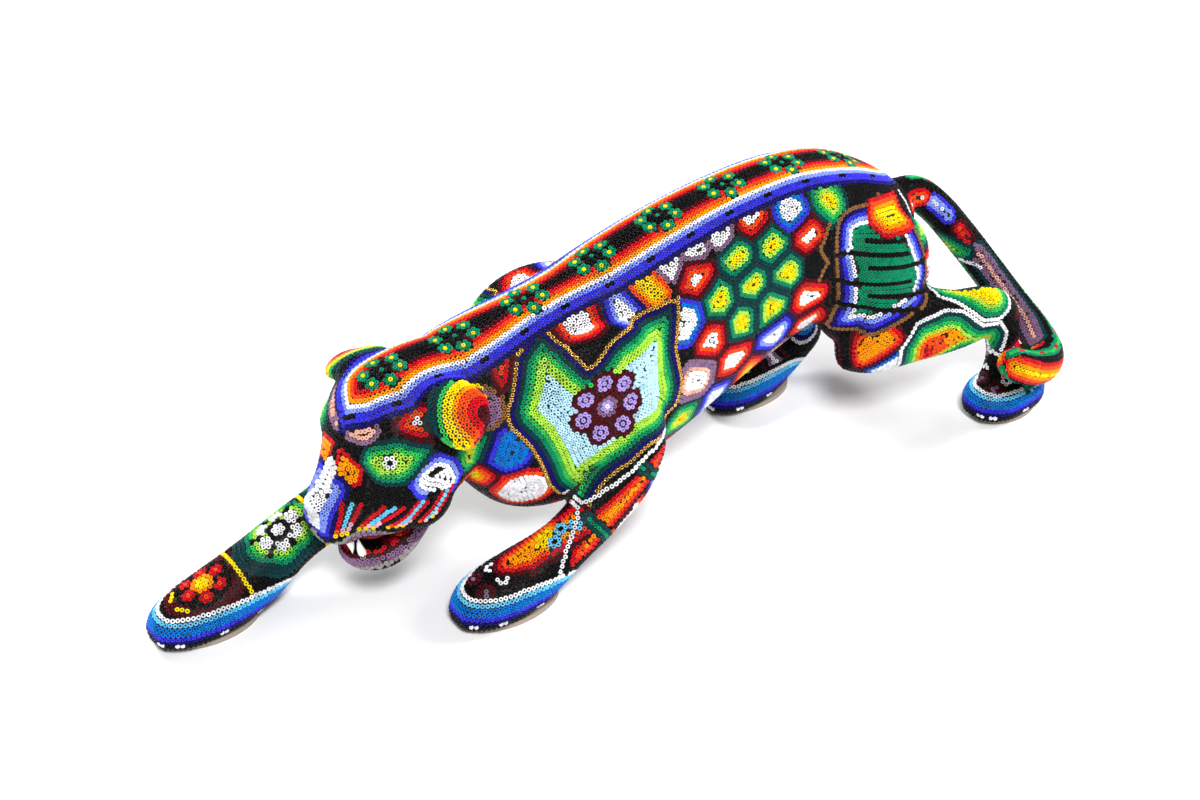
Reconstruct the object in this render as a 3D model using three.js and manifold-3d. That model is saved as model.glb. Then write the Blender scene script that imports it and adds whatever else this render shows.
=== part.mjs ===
// A prowling big cat figure covered with glass seed beads.
// Carved wooden pieces are pegged together, coated with wax, and beads are pressed into the wax.
// Millimetres, +Z up, the head towards -X, the figure's left side towards -Y, the soles on Z = 0.
import * as THREE from "three";
import { mergeVertices } from "three/addons/utils/BufferGeometryUtils.js";
import Module from "manifold-3d";

const wasm = await Module();
wasm.setup();

// Layers, measured inwards from the outside of the beads.
const GAP = 0.3;
const BEAD_DEPTH = 1.7;
const WAX_DEPTH = 0.8;
const WAX_TOP = BEAD_DEPTH + GAP;
const WAX_FOOT = WAX_TOP + WAX_DEPTH;
const CORE_TOP = WAX_FOOT + GAP;

// Soles: flat pads under the paws.
const SOLE_THICKNESS = 2.2;
const FOOT_CUT = SOLE_THICKNESS + GAP;

// Pegs that join the carved pieces.
const PEG_RADIUS = 2.5;
const PEG_SIDES = 8;

// The back field of beads is a strip of this half width along the top of the body.
const BACK_STRIP = 13;
const BACK_STRIP_FLOOR = 88;

// How finely the sections are divided.
const TRUNK_SIDES = 10;
const HEAD_SIDES = 10;
const LIMB_SIDES = 8;
const BULGE_SIDES = 7;
const SOLE_SEGMENTS = 16;

// Where the plan's zero point lies in the part's frame.
const PLAN_SHIFT = new THREE.Vector3(-9.24, 18.68, 0);

// Upright sections of the body and the head: x, top, bottom, half width, squareness of the upper half.
const TORSO = [
  [-72, 107.5, 46, 25, 2.3],
  [-58, 109.5, 28, 31, 2.2],
  [-40, 112.5, 19.5, 34.5, 2.0],
  [-18, 116.5, 18.5, 36, 1.9],
  [4, 122.5, 21, 35, 2.0],
  [30, 128, 27.5, 32, 2.2],
  [60, 131.5, 39, 29.5, 2.4],
  [92, 131.5, 51, 29, 2.5],
  [120, 126, 56, 29, 2.4],
  [142, 114.5, 61, 25, 2.4],
  [155, 104, 72, 17, 2.2],
  [163, 97, 82, 9, 2.1],
];
const HEAD = [
  [-64, 106, 56, 22, 2.1],
  [-84, 107.5, 43, 28, 2.1],
  [-98, 106, 38, 30, 2.1],
  [-108, 102.5, 37, 30, 2.1],
  [-115, 95, 37, 25, 2.1],
  [-120, 83, 37, 18, 2.1],
  [-125, 71, 38, 14, 2.1],
  [-130, 62, 39, 12.5, 2.1],
  [-134, 55, 41, 9, 2.1],
];
// The widest line of an upright section, as a share of its height, and the squareness below it.
const WIDEST_AT = 0.46;
const LOWER_SQUARENESS = 2.1;

// Limbs along their centre lines: x, y, z, half width across, half depth.
const LEFT_FORELEG = [
  [-24, -24, 82, 12, 24],
  [-17, -29, 66, 12, 22],
  [-11, -33, 52, 12, 18],
  [-16, -36, 40, 11, 14.5],
  [-29, -37, 29, 10.5, 12],
  [-45, -37, 19.5, 11, 10.5],
  [-62, -36, 11.5, 14, 12],
  [-79, -36, 8.5, 14.5, 11],
  [-89, -36, 7, 11.5, 9],
  [-95.5, -36, 6.5, 6, 4.5],
];
const RIGHT_FORELEG = [
  [-30, 22, 76, 12, 24],
  [-44, 25, 60, 12, 21],
  [-62, 26, 46, 12, 17],
  [-86, 27, 37, 11.5, 14],
  [-110, 27, 30, 11.5, 12.5],
  [-132, 26, 23.5, 11.5, 12],
  [-150, 25, 15, 13.5, 13.5],
  [-166, 24, 10.5, 15, 12.5],
  [-181, 23, 8.5, 14, 11],
  [-189.5, 22.5, 7.5, 11, 9],
  [-195.5, 22, 7, 6, 4.5],
];
const LEFT_THIGH = [
  [112, -29, 60, 13, 21],
  [124, -32, 56, 14, 22],
  [141, -36, 52.5, 13, 18],
  [159, -41, 50, 11, 14.5],
  [174, -44.5, 50.5, 9.5, 12.5],
  [183, -46, 47.5, 8.5, 10.5],
  [189, -47, 45, 6, 7.5],
];
const LEFT_SHANK = [
  [181, -45.5, 55, 6, 6],
  [184, -46.5, 47, 8, 9],
  [186, -47.5, 36, 7.2, 8],
  [187, -49, 27, 7.4, 8.2],
  [187, -51, 17, 10, 11],
  [187, -52, 9, 12, 14],
];
const LEFT_HIND_PAW = [
  [206.5, -52.5, 7.5, 7, 5],
  [200, -52.5, 8, 12, 10],
  [192, -53, 8.5, 14, 11],
  [179, -53.5, 8, 14.5, 10.5],
  [171, -53.5, 7, 11.5, 9],
  [165.5, -53.5, 6.5, 6, 4.5],
];
const RIGHT_THIGH = [
  [128, 20, 90, 13, 30],
  [121, 24, 71, 14, 26],
  [116, 25, 56, 13, 20],
  [119, 25.5, 44, 11.5, 16],
  [126, 25, 34, 9.5, 12],
  [130, 24.5, 27, 8, 9],
  [131, 24, 22, 6, 6.5],
];
const RIGHT_HIND_PAW = [
  [140.5, 24, 23, 5, 5],
  [134.5, 24, 21, 8, 8.5],
  [126, 23.5, 17, 9, 9.5],
  [114, 23, 12.5, 11, 10.5],
  [100, 22, 9, 13.5, 11],
  [87, 21.5, 8, 14, 10.5],
  [79, 21, 7, 11.5, 9],
  [73, 21, 6.5, 6, 4.5],
];
const TAIL = [
  [152, 0, 93, 8, 9],
  [168, -2, 93, 8, 8],
  [179, -6, 84, 8, 8],
  [190, -12, 69, 8, 8],
  [199, -22, 53, 8, 8],
  [204.5, -34, 40, 8, 8],
  [206.5, -47, 31.5, 8, 8],
  [202, -60, 28, 8, 8],
  [192, -68, 29, 8, 8],
  [180, -70.5, 33, 8, 8],
  [170, -70, 38.5, 7.5, 7.5],
  [164.5, -69.5, 42, 5, 5],
];
const LOWER_JAW = [
  [-90, 0, 40, 13, 8],
  [-96, 0, 34, 14, 8],
  [-102, 0, 29, 14.5, 8],
  [-109, 0, 26.5, 14, 8],
  [-116, 0, 27, 11.5, 7],
  [-121, 0, 30, 7, 5],
];
const EAR = [
  [-86, 14, 98, 10, 6],
  [-85, 20, 98, 11, 5.5],
  [-84, 26, 95, 13, 5.5],
  [-83, 32, 91, 12.5, 5.5],
  [-80, 37, 89, 8.5, 5],
];
const FAR_EAR_SHIFT = new THREE.Vector3(-11, 0, -3);

// Shoulder blades: centre and half lengths of an egg-shaped bulge, mirrored from side to side.
const SHOULDER_BLADE = { at: [-17, 26, 84], half: [31, 12.5, 23] };
const LEFT_HAUNCH = { at: [127, -22, 74], half: [31, 17, 32] };

// Soles: centre x and y, half length, half width.
const SOLES = {
  left_fore: [-70, -36, 22, 12],
  right_fore: [-170, 23.5, 20, 12],
  left_hind: [186, -53, 17, 12],
  right_hind: [99, 22, 22, 11.5],
};

// Pegs: the two ends of each.
const PEGS = {
  neck_peg: [[-58, 0, 84], [-86, 0, 84]],
  tail_peg: [[148, 0, 94], [170, -2, 92]],
  left_shoulder_peg: [[-20, -14, 60], [-15, -38, 54]],
  right_shoulder_peg: [[-38, 10, 60], [-62, 26, 47]],
  left_hip_peg: [[118, -12, 80], [122, -34, 64]],
  right_hip_peg: [[118, 12, 78], [117, 26, 56]],
  lower_jaw_peg: [[-90, 0, 52], [-99, 0, 28]],
};

// Teeth: root, tip, root radius; mirrored from side to side.
const UPPER_FANG = { root: [-124.5, 7.5, 43], tip: [-123.5, 7.5, 34], radius: 2.1 };
const LOWER_FANG = { root: [-116.5, 6.5, 28], tip: [-118.5, 6.5, 37], radius: 1.8 };
const FANG_TIP = 0.4;
const FANG_SIDES = 8;
// The mouth is an egg-shaped hollow between the head and the lower jaw, with the tongue on its floor.
const MOUTH = { at: [-109, 0, 38.5], half: [16, 10.5, 9] };
const TONGUE = { at: [-108, 0, 33.6], half: [8.5, 5.5, 2.2] };

const WOOD = { color: 0x9a6b42, roughness: 0.75, metalness: 0 };
const WAX = { color: 0x5a3a22, roughness: 0.5, metalness: 0 };
const SOLE = { color: 0x8a8078, roughness: 0.85, metalness: 0 };
const IVORY = { color: 0xf4f2ea, roughness: 0.3, metalness: 0 };
const BEAD_COLOURS = {
  back: 0xe05a28,
  left_flank: 0x2a8a5a,
  right_flank: 0x2a8a5a,
  head: 0x6a78e0,
  lower_jaw: 0x8a2034,
  left_ear: 0xe8a018,
  right_ear: 0xe8a018,
  left_foreleg: 0x2878c8,
  right_foreleg: 0x2878c8,
  left_hindleg: 0x4ab04a,
  right_hindleg: 0x4ab04a,
  tail: 0x145058,
};

// Geometry helpers.

const vector = (values) => new THREE.Vector3(...values);
const signedPower = (value, power) => Math.sign(value) * Math.abs(value) ** power;

// A closed skin over a row of rings, with a fan over each end. Rings run counter-clockwise about the row.
function loft(rings) {
  const sides = rings[0].length;
  const points = rings.flat();
  const faces = [];
  for (let row = 0; row + 1 < rings.length; row += 1) {
    for (let side = 0; side < sides; side += 1) {
      const here = row * sides + side;
      const beside = row * sides + ((side + 1) % sides);
      faces.push(here, beside, here + sides);
      faces.push(beside, beside + sides, here + sides);
    }
  }
  const lastRow = (rings.length - 1) * sides;
  const middle = (ring) => ring.reduce((sum, p) => sum.add(p), vector([0, 0, 0])).divideScalar(sides);
  points.push(middle(rings[0]), middle(rings.at(-1)));
  for (let side = 0; side < sides; side += 1) {
    const next = (side + 1) % sides;
    faces.push(next, side, points.length - 2);
    faces.push(lastRow + side, lastRow + next, points.length - 1);
  }
  return new THREE.BufferGeometry().setFromPoints(points).setIndex(faces);
}

// One ring: a superellipse with its own height above and below its widest line.
function ring(centre, across, upward, half, squareness, sides) {
  return Array.from({ length: sides }, (_, index) => {
    const angle = (2 * Math.PI * index) / sides;
    const upper = Math.sin(angle) >= 0;
    const power = 2 / (upper ? squareness : LOWER_SQUARENESS);
    const sideways = half.side * signedPower(Math.cos(angle), power);
    const height = (upper ? half.above : half.below) * signedPower(Math.sin(angle), power);
    return centre.clone().addScaledVector(across, sideways).addScaledVector(upward, height);
  });
}

// A body or head made of upright sections, whatever way its stations run along X.
function uprightLoft(stations, sides) {
  const across = vector([0, Math.sign(stations.at(-1)[0] - stations[0][0]), 0]);
  const upward = vector([0, 0, 1]);
  const rings = stations.map(([x, top, bottom, side, squareness]) => {
    const widest = bottom + (top - bottom) * WIDEST_AT;
    const half = { side, above: top - widest, below: widest - bottom };
    return ring(vector([x, 0, widest]), across, upward, half, squareness, sides);
  });
  return loft(rings);
}

// A limb whose sections stand square to its centre line.
function limbLoft(stations, sides = LIMB_SIDES, acrossHint = vector([0, 1, 0])) {
  const centres = stations.map((station) => vector(station.slice(0, 3)));
  const rings = stations.map(([, , , side, depth], index) => {
    const before = centres[Math.max(index - 1, 0)];
    const after = centres[Math.min(index + 1, centres.length - 1)];
    const along = after.clone().sub(before).normalize();
    const across = acrossHint.clone().addScaledVector(along, -acrossHint.dot(along)).normalize();
    const upward = along.clone().cross(across);
    const half = { side, above: depth, below: depth };
    return ring(centres[index], across, upward, half, LOWER_SQUARENESS, sides);
  });
  return loft(rings);
}

function bulge({ at, half }, mirror = 1) {
  const shape = new THREE.SphereGeometry(1, BULGE_SIDES, BULGE_SIDES / 2 + 2);
  return shape.scale(...half).translate(at[0], at[1] * mirror, at[2]);
}

// A round bar from one point to another, with a radius at each end.
function bar(from, to, fromRadius, toRadius = fromRadius, sides = PEG_SIDES) {
  const along = vector(to).sub(vector(from));
  const shape = new THREE.CylinderGeometry(toRadius, fromRadius, along.length(), sides);
  const turn = new THREE.Quaternion().setFromUnitVectors(vector([0, 1, 0]), along.clone().normalize());
  const centre = vector(from).addScaledVector(along, 0.5);
  return shape.applyQuaternion(turn).translate(...centre.toArray());
}

function box(low, high) {
  const size = high.map((value, axis) => value - low[axis]);
  const centre = high.map((value, axis) => (value + low[axis]) / 2);
  return new THREE.BoxGeometry(...size).translate(...centre);
}

// The geometry with only its positions, and with shared corners merged.
function welded(geometry) {
  const bare = geometry.clone();
  bare.deleteAttribute("normal");
  bare.deleteAttribute("uv");
  return mergeVertices(bare, 1e-4);
}

// The same skin moved along its own normals: inwards for a positive depth.
function inset(geometry, depth) {
  const moved = welded(geometry);
  moved.computeVertexNormals();
  const position = moved.attributes.position;
  const normal = moved.attributes.normal;
  for (let index = 0; index < position.count; index += 1) {
    position.setXYZ(
      index,
      position.getX(index) - normal.getX(index) * depth,
      position.getY(index) - normal.getY(index) * depth,
      position.getZ(index) - normal.getZ(index) * depth,
    );
  }
  return moved;
}

function solid(geometry) {
  const closed = welded(geometry);
  const vertProperties = new Float32Array(closed.attributes.position.array);
  const corners = Array.from(closed.index.array);
  const kept = [];
  for (let face = 0; face < corners.length; face += 3) {
    const [a, b, c] = corners.slice(face, face + 3);
    if (a !== b && b !== c && c !== a) kept.push(a, b, c);
  }
  const mesh = new wasm.Mesh({ numProp: 3, vertProperties, triVerts: new Uint32Array(kept) });
  return new wasm.Manifold(mesh);
}

const joined = (solids) => solids.reduce((whole, piece) => whole.add(piece));
const without = (whole, cutters) => cutters.reduce((rest, cutter) => rest.subtract(cutter), whole);
const largest = (shape) => shape.decompose().sort((a, b) => b.volume() - a.volume())[0];

// A member is one carved piece's outside: lumps that are joined and hollows that are cut out of them.
// It can be taken at any depth below its surface, or above it for a negative depth.
function atDepth({ lumps, hollows = [] }, depth) {
  const whole = joined(lumps.map((geometry) => solid(inset(geometry, depth))));
  return without(whole, hollows.map((geometry) => solid(inset(geometry, -depth))));
}

function mirrored(stations) {
  return stations.map(([x, y, ...rest]) => [x, -y, ...rest]);
}

function shifted(stations, shift) {
  return stations.map(([x, y, z, ...rest]) => [x + shift.x, y + shift.y, z + shift.z, ...rest]);
}

// Members.

const ALONG_X = vector([1, 0, 0]);
const TAIL_ACROSS = vector([1, 0, 1]);
const mouth = bulge(MOUTH);
const members = {
  torso: { lumps: [uprightLoft(TORSO, TRUNK_SIDES), bulge(SHOULDER_BLADE), bulge(SHOULDER_BLADE, -1)] },
  head: { lumps: [uprightLoft(HEAD, HEAD_SIDES)], hollows: [mouth] },
  lower_jaw: { lumps: [limbLoft(LOWER_JAW)], hollows: [mouth] },
  left_ear: { lumps: [limbLoft(mirrored(EAR), LIMB_SIDES, ALONG_X)] },
  right_ear: { lumps: [limbLoft(shifted(EAR, FAR_EAR_SHIFT), LIMB_SIDES, ALONG_X)] },
  left_foreleg: { lumps: [limbLoft(LEFT_FORELEG)] },
  right_foreleg: { lumps: [limbLoft(RIGHT_FORELEG)] },
  left_hindleg: {
    lumps: [bulge(LEFT_HAUNCH), limbLoft(LEFT_THIGH), limbLoft(LEFT_SHANK), limbLoft(LEFT_HIND_PAW)],
  },
  right_hindleg: { lumps: [limbLoft(RIGHT_THIGH), limbLoft(RIGHT_HIND_PAW)] },
  tail: { lumps: [limbLoft(TAIL, LIMB_SIDES, TAIL_ACROSS)] },
};
// What each member is fixed to: its layers end on that member's core.
const PARENTS = {
  head: "torso",
  lower_jaw: "head",
  left_ear: "head",
  right_ear: "head",
  left_foreleg: "torso",
  right_foreleg: "torso",
  left_hindleg: "torso",
  right_hindleg: "torso",
  tail: "torso",
};
const childrenOf = (name) => Object.keys(PARENTS).filter((child) => PARENTS[child] === name);

// The hole that a bar needs: the bar with a gap all round.
function socket(from, to, fromRadius, toRadius) {
  const overrun = vector(to).sub(vector(from)).setLength(GAP);
  const start = vector(from).sub(overrun).toArray();
  const end = vector(to).add(overrun).toArray();
  return solid(bar(start, end, fromRadius + GAP, toRadius + GAP));
}
const flipped = ([x, y, z], mirror) => [x, y * mirror, z];
const fangSockets = [UPPER_FANG, LOWER_FANG].flatMap(({ root, tip, radius }) =>
  [-1, 1].map((mirror) => socket(flipped(root, mirror), flipped(tip, mirror), radius, FANG_TIP)),
);
const pegSockets = Object.values(PEGS).map(([from, to]) => socket(from, to, PEG_RADIUS, PEG_RADIUS));
const sockets = joined([...pegSockets, ...fangSockets]);
const belowFeet = solid(box([-300, -150, -50], [300, 150, FOOT_CUT]));

// The solids that a member's layers must stay clear of.
function neighbours(name) {
  const cutters = [belowFeet, sockets];
  if (PARENTS[name]) cutters.push(atDepth(members[PARENTS[name]], CORE_TOP - GAP));
  return cutters;
}
const openings = (name) => childrenOf(name).map((child) => atDepth(members[child], -GAP));

// A member at a depth, held inside the skin that lies a gap above it.
const nested = (name, depth) => atDepth(members[name], depth).intersect(atDepth(members[name], depth - GAP));

function core(name) {
  return largest(without(nested(name, CORE_TOP), neighbours(name)));
}

function layer(name, top, foot) {
  const shell = nested(name, top).subtract(atDepth(members[name], foot));
  return largest(without(shell, [...neighbours(name), ...openings(name)]));
}

// The part's scene.

const figure = new THREE.Group();
const standing = new THREE.Group();
standing.position.copy(PLAN_SHIFT);
figure.add(standing);

function addMesh(name, geometry, look) {
  const mesh = new THREE.Mesh(geometry, new THREE.MeshStandardMaterial(look));
  mesh.name = name;
  standing.add(mesh);
}

function addSolid(name, shape, look) {
  const { vertProperties, triVerts } = shape.getMesh();
  const geometry = new THREE.BufferGeometry();
  geometry.setAttribute("position", new THREE.BufferAttribute(vertProperties, 3));
  geometry.setIndex(new THREE.BufferAttribute(triVerts, 1));
  geometry.computeVertexNormals();
  addMesh(name, geometry, look);
}

function addCoresAndWax() {
  for (const name of Object.keys(members)) {
    addSolid(`${name}_core`, core(name), WOOD);
    addSolid(`${name}_wax_coat`, layer(name, WAX_TOP, WAX_FOOT), WAX);
  }
}

function addBeadField(name, shape) {
  addSolid(`${name}_beads`, largest(shape), { color: BEAD_COLOURS[name], roughness: 0.25, metalness: 0 });
}

// The body's beads are three fields: a strip along the back, and a flank on each side.
function addBeads() {
  const body = layer("torso", 0, BEAD_DEPTH);
  const strip = (halfWidth) => solid(box([-300, -halfWidth, BACK_STRIP_FLOOR], [300, halfWidth, 300]));
  const sideOf = (sign) => {
    const edges = [(sign * GAP) / 2, sign * 200].sort((a, b) => a - b);
    return solid(box([-300, edges[0], -50], [300, edges[1], 300]));
  };
  addBeadField("back", body.intersect(strip(BACK_STRIP)));
  addBeadField("left_flank", body.subtract(strip(BACK_STRIP + GAP)).intersect(sideOf(-1)));
  addBeadField("right_flank", body.subtract(strip(BACK_STRIP + GAP)).intersect(sideOf(1)));
  for (const name of Object.keys(PARENTS)) addBeadField(name, layer(name, 0, BEAD_DEPTH));
}

function addSoles() {
  for (const [name, [x, y, halfLength, halfWidth]] of Object.entries(SOLES)) {
    const outline = new THREE.Shape().absellipse(x, y, halfLength, halfWidth, 0, 2 * Math.PI);
    const settings = { depth: SOLE_THICKNESS, bevelEnabled: false, curveSegments: SOLE_SEGMENTS };
    addMesh(`${name}_sole`, new THREE.ExtrudeGeometry(outline, settings), SOLE);
  }
}

function addPegs() {
  for (const [name, [from, to]] of Object.entries(PEGS)) addMesh(name, bar(from, to, PEG_RADIUS), WOOD);
}

function addFang(name, { root, tip, radius }, mirror) {
  addMesh(name, bar(flipped(root, mirror), flipped(tip, mirror), radius, FANG_TIP, FANG_SIDES), IVORY);
}

function addMouth() {
  for (const [side, mirror] of [["left", -1], ["right", 1]]) {
    addFang(`${side}_upper_fang`, UPPER_FANG, mirror);
    addFang(`${side}_lower_fang`, LOWER_FANG, mirror);
  }
  const tongue = welded(bulge(TONGUE));
  tongue.computeVertexNormals();
  addMesh("tongue", tongue, { color: 0xc01828, roughness: 0.4, metalness: 0 });
}

addCoresAndWax();
addBeads();
addSoles();
addPegs();
addMouth();

export default figure;
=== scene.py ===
import bmesh
import bpy
import math
import numpy as np
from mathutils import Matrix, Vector
from mathutils.bvhtree import BVHTree
from mathutils.kdtree import KDTree


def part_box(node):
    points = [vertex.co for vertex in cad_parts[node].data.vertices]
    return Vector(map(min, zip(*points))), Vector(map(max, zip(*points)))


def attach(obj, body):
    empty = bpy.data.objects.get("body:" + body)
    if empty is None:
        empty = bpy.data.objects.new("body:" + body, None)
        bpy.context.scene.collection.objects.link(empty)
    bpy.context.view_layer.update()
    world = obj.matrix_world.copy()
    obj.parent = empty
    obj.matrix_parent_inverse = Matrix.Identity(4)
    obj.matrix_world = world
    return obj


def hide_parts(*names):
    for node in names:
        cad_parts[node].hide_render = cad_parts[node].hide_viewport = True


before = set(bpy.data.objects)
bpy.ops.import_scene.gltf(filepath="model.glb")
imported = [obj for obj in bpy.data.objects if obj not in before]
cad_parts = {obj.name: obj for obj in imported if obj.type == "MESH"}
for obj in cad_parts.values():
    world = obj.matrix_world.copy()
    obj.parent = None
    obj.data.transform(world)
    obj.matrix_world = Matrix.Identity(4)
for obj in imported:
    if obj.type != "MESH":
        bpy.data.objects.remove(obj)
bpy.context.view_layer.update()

MM = 0.001

# ---------------------------------------------------------------- the carved shape, in plan millimetres

# Upright sections: x, top, bottom, half width, squareness of the upper half.
TORSO = [
    (-72, 107.5, 46, 25, 2.3), (-58, 109.5, 28, 31, 2.2), (-40, 112.5, 19.5, 34.5, 2.0),
    (-18, 116.5, 18.5, 36, 1.9), (4, 122.5, 21, 35, 2.0), (30, 128, 27.5, 32, 2.2),
    (60, 131.5, 39, 29.5, 2.4), (92, 131.5, 51, 29, 2.5), (120, 126, 56, 29, 2.4),
    (142, 114.5, 61, 25, 2.4), (155, 104, 72, 17, 2.2), (163, 97, 82, 9, 2.1),
]
HEAD = [
    (-64, 106, 56, 22, 2.1), (-84, 107.5, 43, 27, 2.1), (-98, 106, 38, 28, 2.1),
    (-108, 102.5, 37, 28.8, 2.1), (-115, 95, 37, 22.5, 2.1), (-120, 83, 37, 17, 2.1),
    (-125, 71, 38, 13.5, 2.1), (-130, 62, 39, 12, 2.1), (-134, 55, 41, 9, 2.1),
]
WIDEST_AT = 0.46
LOWER_SQUARENESS = 2.1

# Limbs along their centre lines: x, y, z, half width across, half depth.
LEFT_FORELEG = [
    (-24, -24, 82, 12, 24), (-17, -29, 66, 12, 22), (-11, -33, 52, 12, 18), (-16, -36, 40, 11, 14.5),
    (-29, -37, 29, 10.5, 12), (-45, -37, 19.5, 11, 10.5), (-62, -36, 11.5, 14, 12),
    (-79, -36, 8.5, 14.5, 11), (-89, -36, 7, 11.5, 9), (-95.5, -36, 6.5, 6, 4.5),
]
RIGHT_FORELEG = [
    (-30, 22, 76, 12, 24), (-44, 25, 60, 12, 21), (-62, 26, 46, 12, 17), (-86, 27, 37, 11.5, 14),
    (-110, 27, 30, 11.5, 12.5), (-132, 26, 23.5, 11.5, 12), (-150, 25, 15, 13.5, 13.5),
    (-166, 24, 10.5, 15, 12.5), (-181, 23, 8.5, 14, 11), (-189.5, 22.5, 7.5, 11, 9),
    (-195.5, 22, 7, 6, 4.5),
]
LEFT_THIGH = [
    (112, -29, 60, 13, 21), (124, -32, 56, 14, 22), (141, -36, 52.5, 13, 18), (159, -41, 50, 11, 14.5),
    (174, -44.5, 50.5, 9.5, 12.5), (183, -46, 47.5, 8.5, 10.5), (189, -47, 45, 6, 7.5),
]
LEFT_SHANK = [
    (181, -45.5, 55, 6, 6), (184, -46.5, 47, 8, 9), (186, -47.5, 36, 7.2, 8),
    (187, -49, 27, 7.4, 8.2), (187, -51, 17, 10, 11), (187, -52, 9, 12, 14),
]
LEFT_HIND_PAW = [
    (206.5, -52.5, 7.5, 7, 5), (200, -52.5, 8, 12, 10), (192, -53, 8.5, 14, 11),
    (179, -53.5, 8, 14.5, 10.5), (171, -53.5, 7, 11.5, 9), (165.5, -53.5, 6.5, 6, 4.5),
]
RIGHT_THIGH = [
    (128, 20, 90, 13, 30), (121, 24, 71, 14, 26), (116, 25, 56, 13, 20), (119, 25.5, 44, 11.5, 16),
    (126, 25, 34, 9.5, 12), (130, 24.5, 27, 8, 9), (131, 24, 22, 6, 6.5),
]
RIGHT_HIND_PAW = [
    (140.5, 24, 23, 5, 5), (134.5, 24, 21, 8, 8.5), (126, 23.5, 17, 9, 9.5), (114, 23, 12.5, 11, 10.5),
    (100, 22, 9, 13.5, 11), (87, 21.5, 8, 14, 10.5), (79, 21, 7, 11.5, 9), (73, 21, 6.5, 6, 4.5),
]
TAIL = [
    (152, 0, 93, 8, 9), (168, -2, 93, 8, 8), (179, -6, 84, 8, 8), (190, -12, 69, 8, 8),
    (199, -22, 53, 8, 8), (204.5, -34, 40, 8, 8), (206.5, -47, 31.5, 8, 8), (202, -60, 28, 8, 8),
    (192, -68, 29, 8, 8), (180, -70.5, 33, 8, 8), (170, -70, 38.5, 7.5, 7.5), (164.5, -69.5, 42, 5, 5),
]
LOWER_JAW = [
    (-90, 0, 40, 13, 8), (-96, 0, 34, 14, 8), (-102, 0, 29, 14.5, 8), (-109, 0, 26.5, 14, 8),
    (-116, 0, 27, 11.5, 7), (-121, 0, 30, 7, 5),
]
LEFT_EAR = [
    (-86, -14, 98, 10, 6), (-85, -20, 98, 11, 5.5), (-84, -26, 95, 13, 5.5), (-83, -32, 91, 12.5, 5.5),
    (-80, -37, 89, 8.5, 5),
]
RIGHT_EAR_SHIFT = (-11, 0, -3)
RIGHT_EAR = [(x + RIGHT_EAR_SHIFT[0], -y, z + RIGHT_EAR_SHIFT[2], side, depth)
             for x, y, z, side, depth in LEFT_EAR]

# Egg-shaped swellings: centre, half lengths, and -1 for each mirrored copy.
SWELLINGS = [
    ((-17, -26, 84), (31, 12.5, 23), (1, -1)), ((127, -22, 74), (31, 17, 32), (1,)),
    ((-108, -15, 77), (11, 10, 11), (1, -1)), ((-97, -17, 58), (14, 12, 16), (1, -1)),
    ((-124, -6.5, 48), (10, 7, 9), (1, -1)), ((-131, 0, 57), (6, 6, 5), (1,)),
]
# The hollow of the mouth: centre and half lengths.
MOUTH = ((-109, 0, 38.5), (16, 10.5, 9))
# Soles: x, y, half length, half width.
SOLES = {
    "left_fore": (-70, -36, 22, 12), "right_fore": (-170, 23.5, 20, 12),
    "left_hind": (186, -53, 17, 12), "right_hind": (99, 22, 22, 11.5),
}

# The plan's zero point in the frame, found from where a sole lies.
low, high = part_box("left_fore_sole")
SHIFT = np.array([(low.x + high.x) / 2 / MM - SOLES["left_fore"][0],
                  (low.y + high.y) / 2 / MM - SOLES["left_fore"][1], 0.0])

VOXEL = 1.1
SMOOTHING = 24
STEPS = 6
# What a limb's first axis across points to.
SIDEWAYS = (0, 1, 0)
EAR_HINT = (1, 0, 0)
TAIL_HINT = (1, 0, 1)


def along_spline(stations, steps=STEPS):
    """Stations on a Catmull-Rom curve through the given ones."""
    rows = np.array(stations, float)
    made = []
    for index in range((len(rows) - 1) * steps + 1):
        start = min(index // steps, len(rows) - 2)
        t = (index - start * steps) / steps
        a, b = rows[max(start - 1, 0)], rows[start]
        c, d = rows[start + 1], rows[min(start + 2, len(rows) - 1)]
        made.append(0.5 * (2 * b + (c - a) * t + (2 * a - 5 * b + 4 * c - d) * t ** 2
                           + (3 * b - a - 3 * c + d) * t ** 3))
    return np.array(made)


def power(value, exponent):
    return np.sign(value) * np.abs(value) ** exponent


def ring(centre, across, upward, side, above, below, squareness, count):
    """A closed line round a centre, with its own height above and below it."""
    angle = np.linspace(0, 2 * np.pi, count, endpoint=False)
    upper = np.sin(angle) >= 0
    exponent = 2 / np.where(upper, squareness, LOWER_SQUARENESS)
    sideways = side * power(np.cos(angle), exponent)
    height = np.where(upper, above, below) * power(np.sin(angle), exponent)
    return centre + np.outer(sideways, across) + np.outer(height, upward)


def skin(rings):
    """A closed mesh over a row of rings, with a fan over each end: points and faces."""
    count = len(rings[0])
    points = list(np.vstack(rings)) + [rings[0].mean(0), rings[-1].mean(0)]
    faces = []
    for row in range(len(rings) - 1):
        for side in range(count):
            here, beside = row * count + side, row * count + (side + 1) % count
            faces.append((here, beside, beside + count, here + count))
    last = (len(rings) - 1) * count
    for side in range(count):
        following = (side + 1) % count
        faces.append((following, side, len(points) - 2))
        faces.append((last + side, last + following, len(points) - 1))
    return np.array(points), faces


def upright(stations, count=48):
    """The skin round upright sections."""
    across = np.array([0.0, np.sign(stations[-1][0] - stations[0][0]), 0.0])
    rings = []
    for x, top, bottom, side, squareness in along_spline(stations):
        widest = bottom + (top - bottom) * WIDEST_AT
        centre = np.array([x, 0.0, widest])
        rings.append(ring(centre, across, np.array([0, 0, 1.0]), side, top - widest, widest - bottom,
                          squareness, count))
    return skin(rings)


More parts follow.
